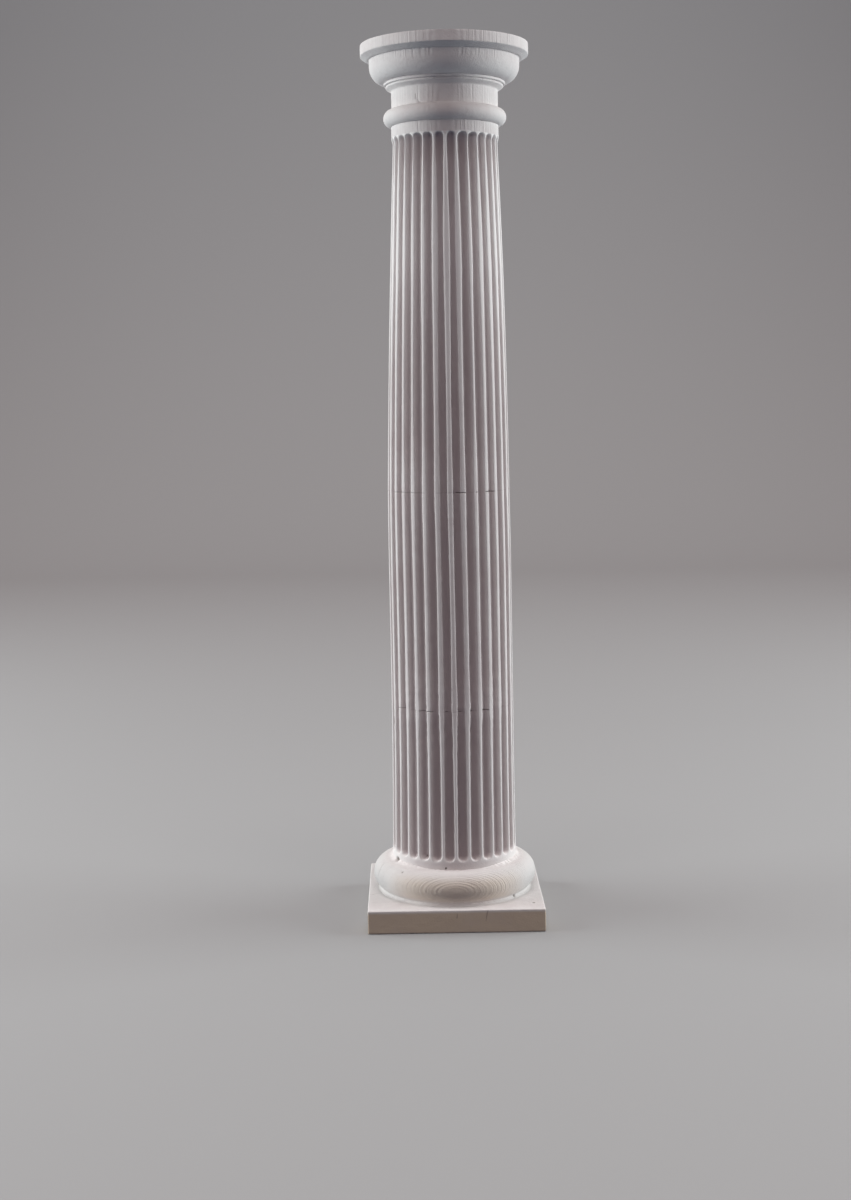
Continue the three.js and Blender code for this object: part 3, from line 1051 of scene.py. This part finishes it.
def make_moulding(name, node, outline, softness, segments):
    """A turned piece with the slight waves, pits and drift of the casting."""
    mesh = turned_mesh(name, thinned(softened(outline, OUTLINE_STEP, softness)), segments)
    points = read_vertices(mesh, "co")
    normals = read_vertices(mesh, "normal")
    dents = round_dents(points, MOULDING_DENTS, MOULDING_SCRATCHES)
    level = COLUMN_TOP - points[:, 2] < 0.02 * MM
    worn = np.where(level, 0, sanding(points, MOULDING_WAVES, 21))
    inset = worn + dents - crease_filler(points)
    write_points(mesh, drifted(points - normals * inset[:, None]))
    set_layer(mesh, "soil", 0.6 * dents / MOULDING_SOIL)
    finished_piece(name, node, mesh, plaster_for("moulded_plaster", 1.0))


class COLUMN_OT_shaft(bpy.types.Operator):
    """Makes the three fluted lengths and the joints between them"""

    bl_idname = "column.shaft"
    bl_label = "Fluted shaft"

    def execute(self, context):
        base = context.scene.column_base
        foot = base.plinth_height + base.torus_height - SHAFT_SUNK
        top = context.scene.column_shaft.flute_top + SHAFT_INTO_COLLAR
        self.add_length("lower_shaft", "lower_piece", foot, LOWER_JOINT, LOWER_ROWS)
        self.add_length("middle_shaft", "middle_drum", LOWER_JOINT, UPPER_JOINT, MIDDLE_ROWS)
        self.add_length("upper_shaft", "upper_piece", UPPER_JOINT, top, UPPER_ROWS)
        return {"FINISHED"}

    def add_length(self, name, node, low, high, rows):
        sizes = bpy.context.scene.column_shaft
        plaster = plaster_for("sanded_plaster", 0.0)
        mesh = fluted_mesh(name, low, high, rows, sizes, plaster)
        points = read_vertices(mesh, "co")
        gaps = joint_gap(points, LOWER_JOINT, LOWER_GAPS)
        gaps += joint_gap(points, UPPER_JOINT, UPPER_GAPS)
        dents = round_dents(points, SHAFT_DENTS)
        radius = polar(points)[1]
        levels, row = np.unique(np.round(points[:, 2], 7), return_inverse=True)
        lands = np.zeros(len(levels))
        np.maximum.at(lands, row, radius)
        outer = radius > 0.5 * sizes.top_radius
        scale = np.where(outer, 1 - (gaps + dents) / np.maximum(radius, MM), 1)
        points[:, :2] *= scale[:, None]
        write_points(mesh, drifted(points))
        set_layer(mesh, "soil", gaps / GAP_SOIL + dents / DENT_SOIL)
        # Painted shade in the flutes, darker the deeper they lie below the lands
        faded = ramp(points[:, 2], UPPER_JOINT, FADED_OVER)
        full_depth = (RECESS_DEPTH + RECESS_FADE * faded) * MM
        recess = (lands[row] - RECESS_START - radius) / full_depth
        # Painted shade on the front of the shaft's foot
        facing = 1 - ramp(np.abs(polar(points)[0]), *FOOT_SHADE_FRONT)
        low_down = np.clip((FOOT_SHADE_TOP - points[:, 2]) / MM, 0, 1)
        foot_front_shade = (0.1 + 0.45 * facing) * low_down
        set_layer(mesh, "recess", np.maximum(recess, foot_front_shade))
        finished_piece(name, node, mesh, plaster)


# Lights: name, place and size in metres, key of the power, tint. The last faces the backdrop
COOL = (0.93, 1.0, 1.0)
WARM = (0.99, 0.965, 0.97)
LIGHTS = (
    ("left_softbox", (-0.453, 0.036, 0.15), (0.36, 0.3), "side_power", COOL),
    ("right_softbox", (0.453, 0.036, 0.15), (0.36, 0.3), "side_power", COOL),
    ("top_softbox", (0, -0.08, 1.2), (0.7, 0.7), "top_power", WARM),
    ("backdrop_wash", (0, 0.3, 0.75), (0.5, 0.5), "wash_power", WARM),
)
WASH_TILT = math.radians(80)

# Floor in metres: half width, radius of its bend, place and height of the backdrop
FLOOR_REACH = 0.32
FLOOR_BEND = 0.35
FLOOR_BACK = 0.9
FLOOR_TOP = 1.6


class COLUMN_OT_studio(bpy.types.Operator):
    """Makes the floor with its backdrop, the lights and the camera"""

    bl_idname = "column.studio"
    bl_label = "Studio"

    def execute(self, context):
        look = context.scene.column_studio
        make_floor(look)
        for name, place, size, power, tint in LIGHTS:
            light = add_light(name, place, size, getattr(look, power), tint)
        light.rotation_euler = (WASH_TILT, 0, 0)
        context.scene.world = make_air(look)
        context.scene.view_settings.view_transform = "Standard"
        add_camera(context.scene)
        return {"FINISHED"}


def make_air(look):
    """The dim light from all round, one colour from above and one from below."""
    world = bpy.data.worlds.new("studio_air")
    tree = empty_tree(world)
    towards = tree.add("ShaderNodeTexCoord").output("Generated")
    height = tree.split(towards).output("Z")
    light = tree.mixed(height.eased(-0.25, 0.25), look.below, look.above)
    seen = tree.add("ShaderNodeLightPath").output("Is Camera Ray")
    light = tree.mixed(seen, light, look.floor)
    background = tree.add("ShaderNodeBackground", None, {"Color": light, "Strength": 1.0})
    tree.add("ShaderNodeOutputWorld", None, {"Surface": background})
    return world


def make_floor(look):
    """A pale floor that turns up into a backdrop behind the column."""
    bend = FLOOR_BEND
    start = FLOOR_BACK - bend
    outline = [(-FLOOR_REACH, 0.0), (start, 0.0)]
    outline += [(start + bend * math.sin(a), bend - bend * math.cos(a))
                for a in np.linspace(0, math.pi / 2, 25)[1:]]
    outline.append((FLOOR_BACK, FLOOR_TOP))
    points = [(side * FLOOR_REACH, y, z) for y, z in outline for side in (-1, 1)]
    faces = [(2 * i, 2 * i + 1, 2 * i + 3, 2 * i + 2) for i in range(len(outline) - 1)]
    mesh = new_mesh("floor", points, faces)
    mesh.shade_smooth()
    material = bpy.data.materials.new("floor_paper")
    tree = empty_tree(material)
    shader = tree.add("ShaderNodeBsdfPrincipled", None,
                      {"Base Color": look.floor, "Roughness": 0.9, "Specular IOR Level": 0.2})
    tree.add("ShaderNodeOutputMaterial", None, {"Surface": shader})
    mesh.materials.append(material)
    floor = new_object("floor", mesh)
    floor.visible_diffuse = False


def add_light(name, place, size, power, tint):
    aim = Vector((0, 0, COLUMN_TOP * 0.5))
    lamp = bpy.data.lights.new(name, "AREA")
    lamp.color = tint
    lamp.shape = "RECTANGLE"
    lamp.size, lamp.size_y = size
    lamp.energy = power
    light = new_object(name, lamp)
    light.location = place
    light.rotation_euler = (aim - Vector(place)).to_track_quat("-Z", "Y").to_euler()
    return light


# Camera, fitted to the outline in the photo: place, lens and sensor in mm, heading, pitch and
# roll in degrees, clipping distances in metres
CAMERA_PLACE = (-6.85, -305.28, 93.85)
CAMERA_ANGLES = (0.453, -7.14, -0.858)
CAMERA_LENS = 52.53
SENSOR_WIDTH = 36
CLIP = (0.01, 20)


def add_camera(scene):
    heading, pitch, roll = (math.radians(angle) for angle in CAMERA_ANGLES)
    forward = Vector((math.sin(heading) * math.cos(pitch), math.cos(heading) * math.cos(pitch),
                      math.sin(pitch)))
    right = Vector((math.cos(heading), -math.sin(heading), 0))
    up = right.cross(forward)
    across = right * math.cos(roll) + up * math.sin(roll)
    upward = up * math.cos(roll) - right * math.sin(roll)
    lens = bpy.data.cameras.new("camera")
    lens.sensor_width = SENSOR_WIDTH
    lens.lens = CAMERA_LENS
    lens.clip_start, lens.clip_end = CLIP
    camera = new_object("camera", lens)
    rows = [(across[i], upward[i], -forward[i], CAMERA_PLACE[i] * MM) for i in range(3)]
    camera.matrix_world = Matrix((*rows, (0, 0, 0, 1)))
    scene.camera = camera


# Panel and registration

OPERATORS = (
    COLUMN_OT_plinth, COLUMN_OT_torus, COLUMN_OT_shaft, COLUMN_OT_capital, COLUMN_OT_studio,
)
GROUPS = {
    "column_shaft": ShaftSizes,
    "column_base": BaseSizes,
    "column_capital": CapitalSizes,
    "column_plaster": PlasterLook,
    "column_studio": StudioSizes,
}


class COLUMN_PT_panel(bpy.types.Panel):
    """Lists the sizes of the column and the operators that make it"""

    bl_idname = "COLUMN_PT_panel"
    bl_label = "Cast column"
    bl_space_type = "VIEW_3D"
    bl_region_type = "UI"
    bl_category = "Column"

    def draw(self, context):
        for key in GROUPS:
            box = self.layout.box()
            group = getattr(context.scene, key)
            for name in group.bl_rna.properties.keys():
                if name not in ("rna_type", "name"):
                    box.prop(group, name)
        for operator in OPERATORS:
            self.layout.operator(operator.bl_idname)


def register():
    for key, group in GROUPS.items():
        bpy.utils.register_class(group)
        setattr(bpy.types.Scene, key, bpy.props.PointerProperty(type=group))
    for operator in OPERATORS:
        bpy.utils.register_class(operator)
    bpy.utils.register_class(COLUMN_PT_panel)


def unregister():
    bpy.utils.unregister_class(COLUMN_PT_panel)
    for operator in reversed(OPERATORS):
        bpy.utils.unregister_class(operator)
    for key, group in reversed(GROUPS.items()):
        delattr(bpy.types.Scene, key)
        bpy.utils.unregister_class(group)


def main():
    register()
    bpy.ops.column.plinth()
    bpy.ops.column.torus()
    bpy.ops.column.shaft()
    bpy.ops.column.capital()
    bpy.ops.column.studio()


if __name__ == "__main__":
    main()
